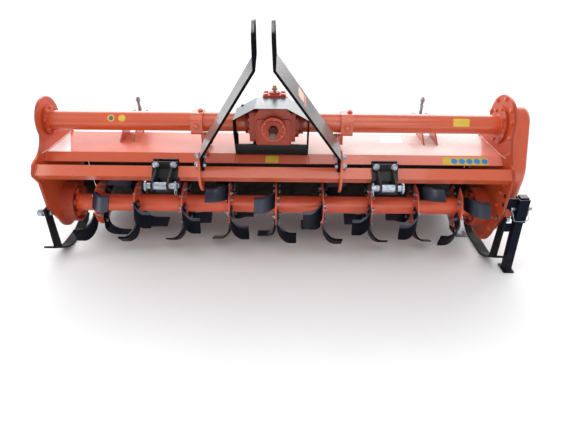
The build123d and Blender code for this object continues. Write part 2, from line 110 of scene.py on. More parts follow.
overhead = sky_range("Z", -0.1, 0.35, 0.42, 0.62)
rearward = sky_range("Y", 0.15, 0.75, 0.0, 1.0)
low_band = sky_math("MULTIPLY", sky_range("Z", 0.04, 0.2, 0.0, 1.0), sky_range("Z", 0.6, 0.85, 1.0, 0.0))
behind = sky_math("MULTIPLY", rearward, low_band)
brightness = sky_math("ADD", overhead, sky_math("MULTIPLY", behind, GLOW))
sky_nodes["Background"].inputs["Color"].default_value = SKY_TINT
sky_links.new(brightness, sky_nodes["Background"].inputs["Strength"])

# Three soft round panels: name, where it hangs, what it is aimed at, metres across, watts.
PANELS = (("sky_panel", (300, -1300, 3600), (0, 0, 200), 3.0, 40),
          ("left_panel", (-3300, -1200, 2300), (-300, 0, 150), 2.0, 34),
          ("front_panel", (500, -4300, 1500), (0, 0, 200), 3.0, 38))
for label, hung, aim, across, watts in PANELS:
    panel = bpy.data.lights.new(label, "AREA")
    panel.shape, panel.size, panel.energy = "DISK", across, watts
    lamp = bpy.data.objects.new(label, panel)
    lamp.location = place(hung)
    lamp.rotation_euler = Vector(place(aim) - place(hung)).to_track_quat("-Z", "Y").to_euler()
    bpy.context.scene.collection.objects.link(lamp)


def grain(material, scale, detail=4.0, rough=0.55):
    """A noise on the piece's own coordinates, in metres."""
    tree = material.node_tree
    where, turn, noise = (tree.nodes.new("ShaderNode" + kind) for kind in ("TexCoord", "Mapping", "TexNoise"))
    noise.inputs["Scale"].default_value = scale
    noise.inputs["Detail"].default_value = detail
    noise.inputs["Roughness"].default_value = rough
    tree.links.new(where.outputs["Object"], turn.inputs["Vector"])
    tree.links.new(turn.outputs[0], noise.inputs["Vector"])
    return noise.outputs["Fac"]


def fade(material, source, low, high, start=0.0, end=1.0):
    """A value taken from one range to another in a straight line, held at both ends."""
    turn = material.node_tree.nodes.new("ShaderNodeMapRange")
    for socket, value in zip(("From Min", "From Max", "To Min", "To Max"), (low, high, start, end)):
        turn.inputs[socket].default_value = value
    material.node_tree.links.new(source, turn.inputs["Value"])
    return turn.outputs["Result"]


def blend(material, share, first, second):
    """Two colours mixed by a share; either may be a colour or another node's output."""
    mix = material.node_tree.nodes.new("ShaderNodeMix")
    mix.data_type = "RGBA"
    material.node_tree.links.new(share, mix.inputs[0])
    for socket, value in ((6, first), (7, second)):
        if isinstance(value, tuple):
            mix.inputs[socket].default_value = (*value, 1)
        else:
            material.node_tree.links.new(value, mix.inputs[socket])
    return mix.outputs[2]


def times(material, first, second):
    """Two values multiplied."""
    product = material.node_tree.nodes.new("ShaderNodeMath")
    product.operation = "MULTIPLY"
    material.node_tree.links.new(first, product.inputs[0])
    material.node_tree.links.new(second, product.inputs[1])
    return product.outputs[0]


def finish(name, colour, second, rough=(0.3, 0.45), metal=0.0, coat=0.0, patch=5.0, bump=(180.0, 0.0004),
           worn=None, dust=None, specular=0.5):
    """A paint, plating or bare metal.

    The colour wanders between two shades over patches, the gloss with it, and a fine noise, bump's
    scale and height in metres, lifts the surface. worn is (colour, scale, threshold) of small chips;
    dust is (colour, top height in metres, share), strongest at the floor.
    """
    material = bpy.data.materials.new(name)
    material.use_nodes = True
    tree = material.node_tree
    shader = tree.nodes["Principled BSDF"]
    patches = grain(material, patch, 5.0)
    shade = blend(material, fade(material, patches, 0.35, 0.68), colour, second)
    gloss = fade(material, patches, 0.3, 0.7, *rough)
    if worn:
        chip_colour, chip_scale, threshold = worn
        chips = fade(material, grain(material, chip_scale, 7.0, 0.7), threshold, threshold + 0.03)
        shade = blend(material, chips, shade, chip_colour)
    if dust:
        dust_colour, top, share = dust
        where, parts = tree.nodes.new("ShaderNodeTexCoord"), tree.nodes.new("ShaderNodeSeparateXYZ")
        tree.links.new(where.outputs["Object"], parts.inputs[0])
        falling = fade(material, parts.outputs["Z"], 0.0, top, share, 0.0)
        settled = times(material, falling, fade(material, grain(material, 26.0, 6.0), 0.4, 0.62))
        shade = blend(material, settled, shade, dust_colour)
    tree.links.new(shade, shader.inputs["Base Color"])
    tree.links.new(gloss, shader.inputs["Roughness"])
    shader.inputs["Metallic"].default_value = metal
    shader.inputs["Coat Weight"].default_value = coat
    shader.inputs["Coat Roughness"].default_value = 0.08
    shader.inputs["Specular IOR Level"].default_value = specular
    lift = tree.nodes.new("ShaderNodeBump")
    lift.inputs["Distance"].default_value = bump[1]
    lift.inputs["Strength"].default_value = 0.6
    tree.links.new(grain(material, bump[0], 3.0), lift.inputs["Height"])
    tree.links.new(lift.outputs[0], shader.inputs["Normal"])
    return material


# Pale floor, a grid of 6 m squares half a millimetre under the skids.
FLOOR_REACH, FLOOR_LINES, FLOOR_DROP = 42, 15, 0.0005
floor_paint = finish("pale_floor", (0.86, 0.86, 0.86), (0.9, 0.9, 0.9), rough=(0.75, 0.9), patch=0.6,
                     bump=(40.0, 0.0003), specular=0.1)
span = np.linspace(-FLOOR_REACH, FLOOR_REACH, FLOOR_LINES)
floor_x, floor_y = np.meshgrid(span, span, indexing="ij")
floor_points = np.stack([floor_x, floor_y, 0 * floor_x - FLOOR_DROP], -1).reshape(-1, 3)
square = np.arange(FLOOR_LINES - 1)
corner = (square[:, None] * FLOOR_LINES + square).reshape(-1)
floor_faces = np.stack([corner, corner + FLOOR_LINES, corner + FLOOR_LINES + 1, corner + 1], -1)
floor_mesh = bpy.data.meshes.new("floor")
floor_mesh.from_pydata(floor_points.tolist(), [], floor_faces.tolist())
floor_mesh.materials.append(floor_paint)
floor = bpy.data.objects.new("floor", floor_mesh)
bpy.context.scene.collection.objects.link(floor)

# ---- Side plates, front beam and hood --------------------------------------------------------------
# Laser-cut 12 mm side plates, a square tube set on edge as the front beam, and a folded 5 mm hood, all
# welded together and powder-coated orange. Chips and a little dust show low down.


def facing(material, axis, low, high):
    """How far a face looks along an axis: 0 at the low part of its normal, 1 at the high one."""
    tree = material.node_tree
    where, parts = tree.nodes.new("ShaderNodeNewGeometry"), tree.nodes.new("ShaderNodeSeparateXYZ")
    tree.links.new(where.outputs["True Normal"], parts.inputs[0])
    return fade(material, parts.outputs[axis], low, high)


def reaching(material, way, low, high, start=0.0, end=1.0):
    """A step across the piece: the product of its own coordinates and way, low to high in machine mm."""
    tree = material.node_tree
    where, along = tree.nodes.new("ShaderNodeTexCoord"), tree.nodes.new("ShaderNodeVectorMath")
    along.operation = "DOT_PRODUCT"
    along.inputs[1].default_value = way
    tree.links.new(where.outputs["Object"], along.inputs[0])
    shift = float(MIDDLE @ way)
    return fade(material, along.outputs["Value"], shift + low / 1000, shift + high / 1000, start, end)


def polish(material, share, coat, specular, rest=0.0):
    """Gloss only where the share is: with it the coat falls to none and the specular level to rest."""
    shader = material.node_tree.nodes["Principled BSDF"]
    for socket, low, high in (("Coat Weight", 0.0, coat), ("Specular IOR Level", rest, specular)):
        material.node_tree.links.new(fade(material, share, 0.0, 1.0, low, high), shader.inputs[socket])


def over(material, share, colour):
    """Lay a colour over the paint by a share."""
    shader = material.node_tree.nodes["Principled BSDF"]
    under = shader.inputs["Base Color"].links[0].from_socket
    material.node_tree.links.new(blend(material, share, under, colour), shader.inputs["Base Color"])


def dress(material, *names):
    """Give CAD nodes a better finish through their material slots."""
    for name in names:
        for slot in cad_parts[name].material_slots:
            slot.material = material


ORANGE, ORANGE_DEEP, SOIL = (0.57, 0.086, 0.026), (0.51, 0.070, 0.020), (0.33, 0.24, 0.17)
ORANGE_PEEL = (260.0, 0.0003)
ORANGE_CHIPS = ((0.30, 0.10, 0.06), 60.0, 0.765)
orange = finish("orange_powder_coat", ORANGE, ORANGE_DEEP, rough=(0.26, 0.38), coat=0.6, patch=3.0,
                bump=ORANGE_PEEL, worn=ORANGE_CHIPS, dust=(SOIL, 0.75, 0.20))
dress(orange, "front_beam")
# The side plates are duller, and their faces turned to the front, mostly the cut edges, are darkened with
# painted shade.
plate_orange = finish("side_plate_coat_and_painted_shade", (0.56, 0.075, 0.020), (0.49, 0.062, 0.016), rough=(0.34, 0.48),
                      coat=0.12, patch=3.0, bump=ORANGE_PEEL, worn=ORANGE_CHIPS, dust=(SOIL, 0.75, 0.16),
                      specular=0.34)
over(plate_orange, facing(plate_orange, "Y", -0.35, -0.6), (0.30, 0.042, 0.014))
dress(plate_orange, "side_plate_left", "side_plate_right")
# The hood is the same coat. To the right, a pale painted reflection of the sky thickens on its lip and, in
# patches, on its flat top, fading out at the corner by the right plate; the corner at the left plate carries
# a near-white painted highlight.
LIP_REFLECTION, DECK_REFLECTION, LEFT_CORNER_HIGHLIGHT = (1.0, 0.44, 0.38), (0.70, 0.565, 0.515), (0.94, 0.92, 0.91)
deck = finish("hood_coat_and_painted_reflection", ORANGE, ORANGE_DEEP, rough=(0.24, 0.36), coat=0.5, patch=3.0,
              bump=ORANGE_PEEL, worn=ORANGE_CHIPS, dust=(SOIL, 0.75, 0.1))
deck_top = facing(deck, "Z", 0.86, 0.97)
polish(deck, fade(deck, deck_top, 0.0, 1.0, 1.0, 0.0), 0.5, 0.5, 0.1)
rightward = reaching(deck, (1, 0, 0), -760, 380)
patchy = fade(deck, grain(deck, 2.6, 5.0), 0.3, 0.7, 0.84, 1.0)
reflection_spread = times(deck, rightward, patchy)
reflection_spread = times(deck, reflection_spread, reaching(deck, (1, -0.36, 0), 1088, 1095, 1.0, 0.1))
lip_reflection_share = times(deck, facing(deck, "Z", 0.7, 0.8), reaching(deck, (1, 0, 0), -200, 700, 0.0, 0.36))
over(deck, lip_reflection_share, LIP_REFLECTION)
over(deck, times(deck, deck_top, reflection_spread), DECK_REFLECTION)
over(deck, times(deck, deck_top, reaching(deck, (1, 0.42, 0), -1074, -1079, 0.0, 0.94)), LEFT_CORNER_HIGHLIGHT)
dress(deck, "hood")


def add_piece(name, shells, material, body, angle=35.0):
    """One mesh from closed shells of rings, as arrays (copies, rings, around, 3) in machine millimetres.

    Neighbouring rings are joined by quads, and a fan to the ring's middle closes each end. Rings
    that follow each other along an axis turn anticlockwise about it, so the faces point outwards.
    Edges sharper than the angle, in degrees, stay crisp.
    """
    points, faces, start = [], [], 0
    for rings in shells:
        copies, count, around = rings.shape[:3]
        ends = rings[:, (0, -1)].mean(2)
        block = np.concatenate([rings.reshape(copies, -1, 3), ends], 1)
        ring, step = np.meshgrid(np.arange(count - 1), np.arange(around), indexing="ij")
        ring, step = ring.reshape(-1), step.reshape(-1)
        following = (step + 1) % around
        quads = np.stack([ring * around + step, ring * around + following, (ring + 1) * around + following,
                          (ring + 1) * around + step], -1)
        turn = np.arange(around)
        after = (turn + 1) % around
        top = (count - 1) * around
        fans = np.concatenate([np.stack([np.full(around, count * around), after, turn], -1),
                               np.stack([np.full(around, count * around + 1), top + turn, top + after], -1)])
        jump = start + np.arange(copies)[:, None, None] * block.shape[1]
        faces += (quads[None] + jump).reshape(-1, 4).tolist()
        faces += (fans[None] + jump).reshape(-1, 3).tolist()
        points.append(block.reshape(-1, 3))
        start += copies * block.shape[1]
    mesh = bpy.data.meshes.new(name)
    mesh.from_pydata(place(np.concatenate(points)).tolist(), [], faces)
    mesh.polygons.foreach_set("use_smooth", np.ones(len(mesh.polygons), bool))
    mesh.set_sharp_from_angle(angle=radians(angle))
    mesh.materials.append(material)
    piece = bpy.data.objects.new(name, mesh)
    bpy.context.scene.collection.objects.link(piece)
    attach(piece, body)
    return piece


def edge(name, axis, end):
    """One face of a CAD node's box, in machine millimetres; end is 0 for the low face, 1 for the high."""
    return float((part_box(name)[end][axis] - MIDDLE[axis]) * 1000)


def middle(name, axis):
    """Half way between the low and the high face of a CAD node's box, in machine millimetres."""
    return (edge(name, axis, 0) + edge(name, axis, 1)) / 2


def unit(vectors):
    """Vectors divided by their lengths."""
    return vectors / np.linalg.norm(vectors, axis=-1, keepdims=True)


def bead(path, radius, ripple=6.0, around=8):
    """Bead or wire: a circle carried along a path, in steps of a third of a ripple, six points at least.

    Its radius swells and shrinks by a sixth with the sine of the way travelled, once each ripple, and
    falls to a third at both ends. Bends shorter than a step are lost, so a wire with a long ripple
    runs straight from point to point.
    """
    path = np.asarray(path, float)
    steps = np.linalg.norm(np.diff(path, axis=0), axis=1)
    travelled = np.concatenate([[0], np.cumsum(steps)])
    count = max(int(travelled[-1] / (ripple / 3)), 6)
    along = np.linspace(0, travelled[-1], count)
    line = np.stack([np.interp(along, travelled, path[:, i]) for i in range(3)], -1)
    way = unit(np.gradient(line, axis=0))
    upright = np.where(np.abs(way[:, 2:]) > 0.9, (1.0, 0.0, 0.0), (0.0, 0.0, 1.0))
    side = unit(np.cross(upright, way))
    other = np.cross(way, side)
    to_end = np.minimum(along, along[-1] - along)
    swell = radius * (1 + 0.16 * np.sin(2 * pi * along / ripple)) * np.minimum(1, 0.35 + to_end / radius)
    angle = np.linspace(0, 2 * pi, around, endpoint=False)[None, :, None]
    spoke = np.cos(angle) * side[:, None] + np.sin(angle) * other[:, None]
    return (line[:, None] + swell[:, None, None] * spoke)[None]


INSIDE, PLATE = 1165.0, 12          # the side plates' inner faces and their thickness
BEAM_Y, BEAM_Z = -208, middle("front_beam", 2)
BEAM_HALF = edge("front_beam", 2, 1) - BEAM_Z
# Where the welds run in Y and Z: along the hood's deck, up its lip, and round the beam's front.
WELD_LINES = ([(-76, 334), (220, 334)],
              [(-123, 304), (-77, 335)],
              [(BEAM_Y, BEAM_Z + BEAM_HALF), (BEAM_Y - BEAM_HALF, BEAM_Z), (BEAM_Y, BEAM_Z - BEAM_HALF)])
welds = [bead([(sign * (INSIDE - 1), y, z) for y, z in line], 3.5) for line in WELD_LINES for sign in (-1, 1)]
add_piece("frame_welds", welds, orange, "frame")

# Pale beads over the seams between the hood and the plates, a painted highlight of the weld's edge, and a
# dark line at each joint of its lip.
seam_highlight_paint = finish("seam_highlight", (0.80, 0.55, 0.46), (0.70, 0.40, 0.30), rough=(0.3, 0.5), patch=20.0)
SEAM_LINE = [(220, 339), (-58, 339), (-137, 347)]
seams = [bead([(sign * (INSIDE - 1.5), y, z) for y, z in SEAM_LINE], 2.3, 50.0) for sign in (-1, 1)]
seams.append(bead([(INSIDE, -94, 340), (INSIDE, -151, 381)], 1.0, 50.0))
add_piece("seam_highlight", seams, seam_highlight_paint, "frame")
shut_line = finish("shut_lines", (0.05, 0.010, 0.006), (0.08, 0.014, 0.008), rough=(0.5, 0.7), patch=20.0)
cuts = [bead([(x, -124, 303.4), (x, -76, 335.4)], 1.3, 50.0) for x in (-196, 178)]
add_piece("lip_lines", cuts, shut_line, "frame")


def set_along(shape, spots, way, side=(0.0, 0.0, 1.0)):
    """Copies of a shape drawn about +Z, one at each spot.

    Its +Z goes along way, its +X along side less side's share of way, and its +Y along their cross
    product.
    """
    spots = np.atleast_2d(np.asarray(spots, float))
    way = unit(np.broadcast_to(np.asarray(way, float), spots.shape))
    side = np.broadcast_to(np.asarray(side, float), spots.shape)
    side = unit(side - (side * way).sum(-1, keepdims=True) * way)
    axes = np.stack([side, np.cross(way, side), way], -1)
    return spots[:, None, None] + np.einsum("nij,rcj->nrci", axes, shape)


def turned(profile, around=24, corners=None):
    """Rings about +Z from (radius, height) pairs.

    Where corners is set, a pair with True as a third value is a polygon: its radius, taken to the
    flats, is divided by the cosine of the angle from the nearest flat's middle.
    """
    angle = np.linspace(0, 2 * pi, around, endpoint=False)
    polygon = 1 / np.cos(angle % (2 * pi / corners) - pi / corners) if corners else np.ones(around)
    rings = []
    for radius, height, *cornered in profile:
        reach = radius * (polygon if cornered else np.ones(around))
        rings.append(np.stack([reach * np.cos(angle), reach * np.sin(angle), np.full(around, height)], -1))
    return np.array(rings)


def bolt(size, washer=True, nut=False):
    """Hexagon head or nut of a metric bolt on its washer, standing on Z = 0, with a chamfered top.

    Each radius and height is a share of the thread's size, and a nut shows the bolt's end above it.
    """
    flats, head = size * 0.78, size * (0.8 if nut else 0.64)
    ground = size * 0.16 if washer else 0.0
    if washer:
        profile = [(size * 1.02, -0.6), (size * 1.02, ground * 0.8), (size * 0.96, ground)]
    else:
        profile = [(flats, -0.6, True)]
    profile += [(flats * 0.98, ground, True), (flats, ground + head * 0.08, True),
                (flats, ground + head * 0.86, True), (flats * 0.93, ground + head)]
    if nut:
        profile += [(size * 0.5, ground + head * 1.01), (size * 0.5, ground + head + size * 0.3),
                    (size * 0.4, ground + head + size * 0.38)]
    else:
        profile += [(flats * 0.6, ground + head * 1.02)]
    return turned(profile, 24, 6)


# Painted bolts: those of the right plate, in Y and Z, hold the gear case from outside. The left plate
# shows one smaller bolt.
# Their orange is lighter than the plates': a painted highlight, so the heads show as lit spots.
red_bolt = finish("bolt_paint_with_painted_highlight", (0.62, 0.098, 0.042), (0.50, 0.068, 0.026), rough=(0.24, 0.4), coat=0.4,
                  patch=40.0, bump=(500.0, 0.0002), worn=((0.50, 0.44, 0.40), 240.0, 0.70))
RIGHT_BOLTS = [(17, 604), (-69, 572), (-104, 521), (-121, 451), (-153, 374), (-182, 226), (-172, 176),
               (-165, 102), (-158, 23), (-147, -54), (-90, -140), (110, 572), (150, 500), (160, 400),
               (166, 290), (160, 190), (146, 90), (134, 0), (100, -95), (10, -160)]
plate_work = [set_along(bolt(12), [(INSIDE, y, z) for y, z in RIGHT_BOLTS], (-1, 0, 0)),
              set_along(bolt(10), [(-INSIDE, -188, 226)], (1, 0, 0))]
add_piece("plate_bolts", plate_work, red_bolt, "frame")

# Two zinc bolts hold each skid's arms: a head on a black washer inside the plate, the washer's black a
# painted shadow round the head, and outside, past the plate and the arm, a long nut.
zinc = finish("bright_zinc_plate", (0.46, 0.51, 0.58), (0.27, 0.29, 0.32), rough=(0.22, 0.4), metal=0.9,
              patch=70.0, bump=(700.0, 0.0002), worn=((0.30, 0.22, 0.15), 200.0, 0.72))
washer_shadow_paint = finish("black_washers_painted_shadow", (0.015, 0.014, 0.014), (0.03, 0.026, 0.024), rough=(0.4, 0.6),
                     patch=90.0)
SKID_BOLTS = [(sign, y, z) for sign in (-1, 1) for y, z in ((-205, 43), (190, 70))]
SKID_ARM, WASHER = 10, 2.2
washer = turned([(15, -0.5), (15, 1.6), (14, WASHER)], 32)
long_nut = turned([(16, 0), (16, 3), (10, 3.2), (10, 13), (17.6, 13.2, True), (18, 15, True), (18, 36, True),
                   (16.6, 38), (8, 38.2)], 24, 6)
washers, heads, nuts = [], [], []
for sign, y, z in SKID_BOLTS:
    washers.append(set_along(washer, [(sign * INSIDE, y, z)], (-sign, 0, 0)))
    heads.append(set_along(bolt(13, washer=False), [(sign * (INSIDE - WASHER), y, z)], (-sign, 0, 0)))
    nuts.append(set_along(long_nut, [(sign * (INSIDE + PLATE + SKID_ARM), y, z)], (sign, 0, 0)))
add_piece("skid_washers", washers, washer_shadow_paint, "frame")
add_piece("skid_bolts", heads + nuts, zinc, "frame")

# Two spare holes in the right plate, drawn as dark shallow dishes on its inner face: their near-black is
# painted shade standing in for the holes' depth.
hole_shade_paint = finish("hole_painted_shade", (0.006, 0.006, 0.007), (0.012, 0.011, 0.010), rough=(0.7, 0.9), patch=60.0)
dimple = turned([(12.5, -2.0), (12.5, 0.3), (11.4, 0.4), (6.0, 0.25)])
holes = set_along(dimple, [(INSIDE, -222, 180), (INSIDE, -227, 133)], (-1, 0, 0))
add_piece("spare_holes", [holes], hole_shade_paint, "frame")

# ---- Main tube and its end rings -------------------------------------------------------------------
# Two lengths of thick round tube from the gearbox to the side plates, each with a flat ring welded to
# its end and bolted through the plate.
dress(orange, "main_tube_left", "main_tube_right")
dress(plate_orange, "tube_flange_left", "tube_flange_right")
TUBE_Y, TUBE_Z, TUBE_R = 20.0, 470.0, 49.0


def circle(x, y, z, radius, start=0.0, end=360.0, count=73):
    """Points round a circle in the plane across X: cosines to the rear, sines upwards."""
    angle = np.radians(np.linspace(start, end, count))
    return np.stack([np.full(count, float(x)), y + radius * np.cos(angle), z + radius * np.sin(angle)], -1)


RING, INNER_WELD = 12, 126           # the rings' thickness, and how far out the gearbox's welds are
RING_BOLTS = 8
ring_work, tube_welds = [], []
# For each side, the radius of the circle that its bolts stand on, and the first one's angle.
for sign, reach, first in ((-1, 62.0, 30.0), (1, 79.0, 4.0)):
    turn = np.radians(first + np.arange(RING_BOLTS) * 360 / RING_BOLTS)
    ring_face = np.full(RING_BOLTS, sign * (INSIDE - RING))
    ring_spots = np.stack([ring_face, TUBE_Y + reach * np.cos(turn), TUBE_Z + reach * np.sin(turn)], -1)
    ring_work.append(set_along(bolt(10), ring_spots, (-sign, 0, 0)))
    if sign < 0:
        ring_spots[:, 0] = sign * (INSIDE + PLATE)
        ring_work.append(set_along(bolt(10, nut=True), ring_spots, (sign, 0, 0)))
    tube_welds.append(bead(circle(sign * (INSIDE - RING - 1), TUBE_Y, TUBE_Z, TUBE_R + 1), 4.0))
    tube_welds.append(bead(circle(sign * INNER_WELD, TUBE_Y, TUBE_Z, TUBE_R + 1), 4.0))
add_piece("ring_bolts", ring_work, red_bolt, "frame")
add_piece("tube_welds", tube_welds, orange, "frame")

# ---- Gearbox ---------------------------------------------------------------------------------------
# Cast-iron case in the same orange over a sandy skin, with a bolted lid and a breather, on a black
# bent stand bar.
cast_orange = finish("orange_on_casting", (0.44, 0.042, 0.010), (0.33, 0.030, 0.009), rough=(0.38, 0.58),
                     coat=0.08, patch=9.0, bump=(110.0, 0.0012), dust=(SOIL, 0.9, 0.12))
black_paint = finish("black_gloss_paint", (0.009, 0.008, 0.009), (0.016, 0.014, 0.015), rough=(0.24, 0.38),
                     coat=0.05, patch=6.0, bump=(300.0, 0.0002), worn=((0.13, 0.10, 0.08), 70.0, 0.755),
                     dust=(SOIL, 0.4, 0.10), specular=0.22)
dress(cast_orange, "gearbox", "gearbox_cover")
dress(black_paint, "gearbox_stand")
lid_top = edge("gearbox_cover", 2, 1)
lid_spots = [(x, y, lid_top) for x in (-44, 44) for y in (54, 104)]
lid_work = set_along(bolt(12, washer=False), lid_spots, (0, 0, 1), (1, 0, 0))
add_piece("lid_bolts", [lid_work], red_bolt, "frame")

# The turned ring round the input shaft, brighter than the casting.
INPUT_Z = 480.0
ring_orange = finish("orange_on_turned_ring", (0.60, 0.085, 0.026), (0.50, 0.064, 0.020), rough=(0.34, 0.5),
                     coat=0.1, patch=12.0)
input_ring = turned([(61, -12), (61, -1.5), (59.5, 0.5), (53, 0.5), (51, -2), (47, -2), (45, 0.5),
                     (43.3, 0.5), (43.2, -12)], 48)
add_piece("input_ring", [set_along(input_ring, [(0, -125, INPUT_Z)], (0, -1, 0))], ring_orange, "frame")


def flat(corners, low, high, axis=0, soft=1.0):
    """Plate along an axis, with its edges broken all round.

    Its outline is given as corners in the two axes that follow, either way round, and seen from its
    middle each side is in view. Twice its signed area, the sum of the cross products of neighbouring
    corners, says which way round. Four rings: the outline drawn in by soft, full, full, drawn in.
    """
    corners = np.asarray(corners, float)
    first, second = corners.T
    if (first * np.roll(second, -1) - np.roll(first, -1) * second).sum() < 0:
        corners = corners[::-1]
    steps = np.linspace(0, 1, 6, endpoint=False)[:, None]
    line = (corners[:, None] * (1 - steps) + np.roll(corners, -1, 0)[:, None] * steps).reshape(-1, 2)
    centre = line.mean(0)
    reach = np.linalg.norm(line - centre, axis=1, keepdims=True)
    rings = np.empty((4, len(line), 3))
    for ring, (share, depth) in enumerate(((soft, low), (0, low + soft), (0, high - soft), (soft, high))):
        rings[ring][:, [(axis + 1) % 3, (axis + 2) % 3]] = centre + (line - centre) * (1 - share / reach)
        rings[ring][:, axis] = depth
    return rings[None]


# Cast front pad below a centre rib, with their outlines in Z and X, a boss under the breather, and a
# neck where each tube joins.
PAD = [(402, -80), (402, 80), (518, 84), (526, 76), (526, -76), (518, -84)]
RIB = [(520, -4), (520, 4), (588, 3), (588, -3)]
VENT_Y, BOSS = 80, 10
boss = turned([(27, -1), (27, 7), (25, 9.5), (14, BOSS)], 32)
neck = turned([(49.5, 0), (57, 0), (59, 1.5), (59, 9), (56, 10.5), (56, 13), (58, 14.5), (58, 22), (56, 24),
               (49.5, 24)], 48)
cast_work = [flat(PAD, -106, -99, axis=1, soft=2.0), flat(RIB, -105, -98, axis=1, soft=1.5),
             set_along(boss, [(0, VENT_Y, lid_top)], (0, 0, 1), (1, 0, 0))]
cast_work += [set_along(neck, [(sign * 124, TUBE_Y, TUBE_Z)], (sign, 0, 0)) for sign in (-1, 1)]
add_piece("gearbox_castings", cast_work, cast_orange, "frame")
brass = finish("breather_brass", (0.40, 0.30, 0.16), (0.28, 0.22, 0.14), rough=(0.3, 0.45), metal=0.9,
               patch=80.0)
breather = turned([(7, 0), (7, 9), (12.2, 9.2, True), (12.6, 10.5, True), (12.6, 20, True), (11.4, 21.5),
                   (9, 22), (9, 25), (10.5, 25.5), (10.5, 30), (8, 33), (3, 34)], 24, 6)
vent_work = set_along(breather, [(0, VENT_Y, lid_top + BOSS)], (0, 0, 1), (1, 0, 0))
vent = add_piece("breather", [vent_work], brass, "frame")
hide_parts("breather_plug")

# Six bolts round the input ring, and six on an oval round each side's flange.
sixth = np.arange(6) * 60
input_turn, side_turn = np.radians(22.5 + sixth), np.radians(30 + sixth)
input_spots = np.stack([52 * np.cos(input_turn), np.full(6, -126.0), INPUT_Z + 52 * np.sin(input_turn)], -1)
side_y, side_z = 13 + 70 * np.cos(side_turn), 476 + 62 * np.sin(side_turn)
side_spots = [np.stack([np.full(6, face), side_y, side_z], -1) for face in (-121.0, 108.0)]
side_ways = [(-1, 0, 0)] * 6 + [(1, 0, 0)] * 6
gearbox_work = [set_along(bolt(9, washer=False), input_spots, (0, -1, 0)),
                set_along(bolt(12), np.concatenate(side_spots), side_ways)]
add_piece("gearbox_bolts", gearbox_work, red_bolt, "frame")

# ---- Stub shaft and its guard ----------------------------------------------------------------------
# Ground splined stub, its steel darkened to a reddish brown that is partly grease and partly painted shade
# of the guard's hollow, under a folded sheet guard in gloss black whose upper faces carry a painted
# reflection of the sky.
stub_steel = finish("stub_steel_grease_and_shade", (0.16, 0.105, 0.09), (0.10, 0.062, 0.055), rough=(0.3, 0.5), metal=0.6,
                 patch=45.0, bump=(400.0, 0.0003), worn=((0.28, 0.22, 0.20), 120.0, 0.66))
dress(stub_steel, "pto_shaft")
guard_paint_and_sheen = finish("guard_paint_and_sheen", (0.010, 0.009, 0.010), (0.018, 0.016, 0.016), rough=(0.22, 0.34),
                     patch=4.0, bump=(300.0, 0.0002))
# Faces turned upwards get a bluish grey laid over the black, and the right slope a paler grey: painted
# reflection of the sky.
guard_top = facing(guard_paint_and_sheen, "Z", 0.3, 0.42)
over(guard_paint_and_sheen, guard_top, (0.032, 0.046, 0.057))
right_slope = times(guard_paint_and_sheen, guard_top, facing(guard_paint_and_sheen, "X", 0.3, 0.42))
over(guard_paint_and_sheen, right_slope, (0.105, 0.108, 0.098))
polish(guard_paint_and_sheen, guard_top, 0.08, 0.42)
dress(guard_paint_and_sheen, "pto_guard")
screws = [set_along(bolt(8), [(x, 30, 551.5)], (lean, 0, 0.88)) for x, lean in ((-162, -0.47), (142, 0.47))]
add_piece("guard_screws", screws, guard_paint_and_sheen, "frame")

# ---- Headstock -------------------------------------------------------------------------------------
# Two bent flat bars in gloss black on orange lugs; each lug is clamped round the main tube and bolted
# to the bar with zinc bolts.
mast_paint = finish("mast_black_gloss_and_painted_sheen", (0.006, 0.006, 0.008), (0.010, 0.010, 0.011), rough=(0.2, 0.32),
                    patch=4.0, bump=(320.0, 0.0002), worn=((0.10, 0.08, 0.07), 80.0, 0.76))
# Faces turned upwards get a pale grey laid over the black: painted reflection of the sky.
mast_top = facing(mast_paint, "Z", 0.28, 0.4)
over(mast_paint, mast_top, (0.135, 0.122, 0.118))
polish(mast_paint, mast_top, 0.4, 0.5)
dress(mast_paint, "mast_bar_left", "mast_bar_right")
dress(orange, "mast_lug_left", "mast_lug_right", "tube_clamp_left", "tube_clamp_right")
MAST_BAR = 12                        # the bars' thickness
zinc_work, red_work = [], []
for name, sign in (("left", -1), ("right", 1)):
    faces = (edge("mast_lug_" + name, 0, 0), edge("mast_lug_" + name, 0, 1))
    inner, outer = faces if sign > 0 else faces[::-1]
    foot = np.array([(inner - sign * MAST_BAR, -200, 372), (inner - sign * MAST_BAR, -222, 336)])
    zinc_work.append(set_along(bolt(16), foot, (-sign, 0, 0)))
    foot[:, 0] = outer
    zinc_work.append(set_along(bolt(16, nut=True), foot, (sign, 0, 0)))
    lug_spots = np.array([(inner, 36, 352), (inner, 30, 396), (inner, -90, 350)])
    red_work.append(set_along(bolt(14, nut=True), lug_spots, (-sign, 0, 0)))
    lug_spots[:, 0] = outer
    red_work.append(set_along(bolt(14), lug_spots[2:], (sign, 0, 0)))
    clamp_x = middle("tube_clamp_" + name, 0)
    red_work.append(set_along(bolt(16), [(clamp_x, -58, TUBE_Z)], (0, -1, 0)))
    red_work.append(set_along(bolt(14), [(clamp_x + 16, 2, 530)], (0, -0.28, 0.96), (1, 0, 0)))
add_piece("headstock_bolts", zinc_work, zinc, "frame")
add_piece("clamp_bolts", red_work, red_bolt, "frame")

# ---- Lower hitch -----------------------------------------------------------------------------------
# Black brackets clamped round the front beam by four zinc bolts each, the lower two with nuts that show
# behind it, and a zinc pin through their ears, held by a linch pin and its spring ring.
dress(black_paint, "hitch_bracket_left", "hitch_bracket_right")
dress(zinc, "hitch_pin_left", "hitch_pin_right")
HITCH_FACE, GRIP_X, GRIP_Z, STUD = -230.0, 43, 56, 44
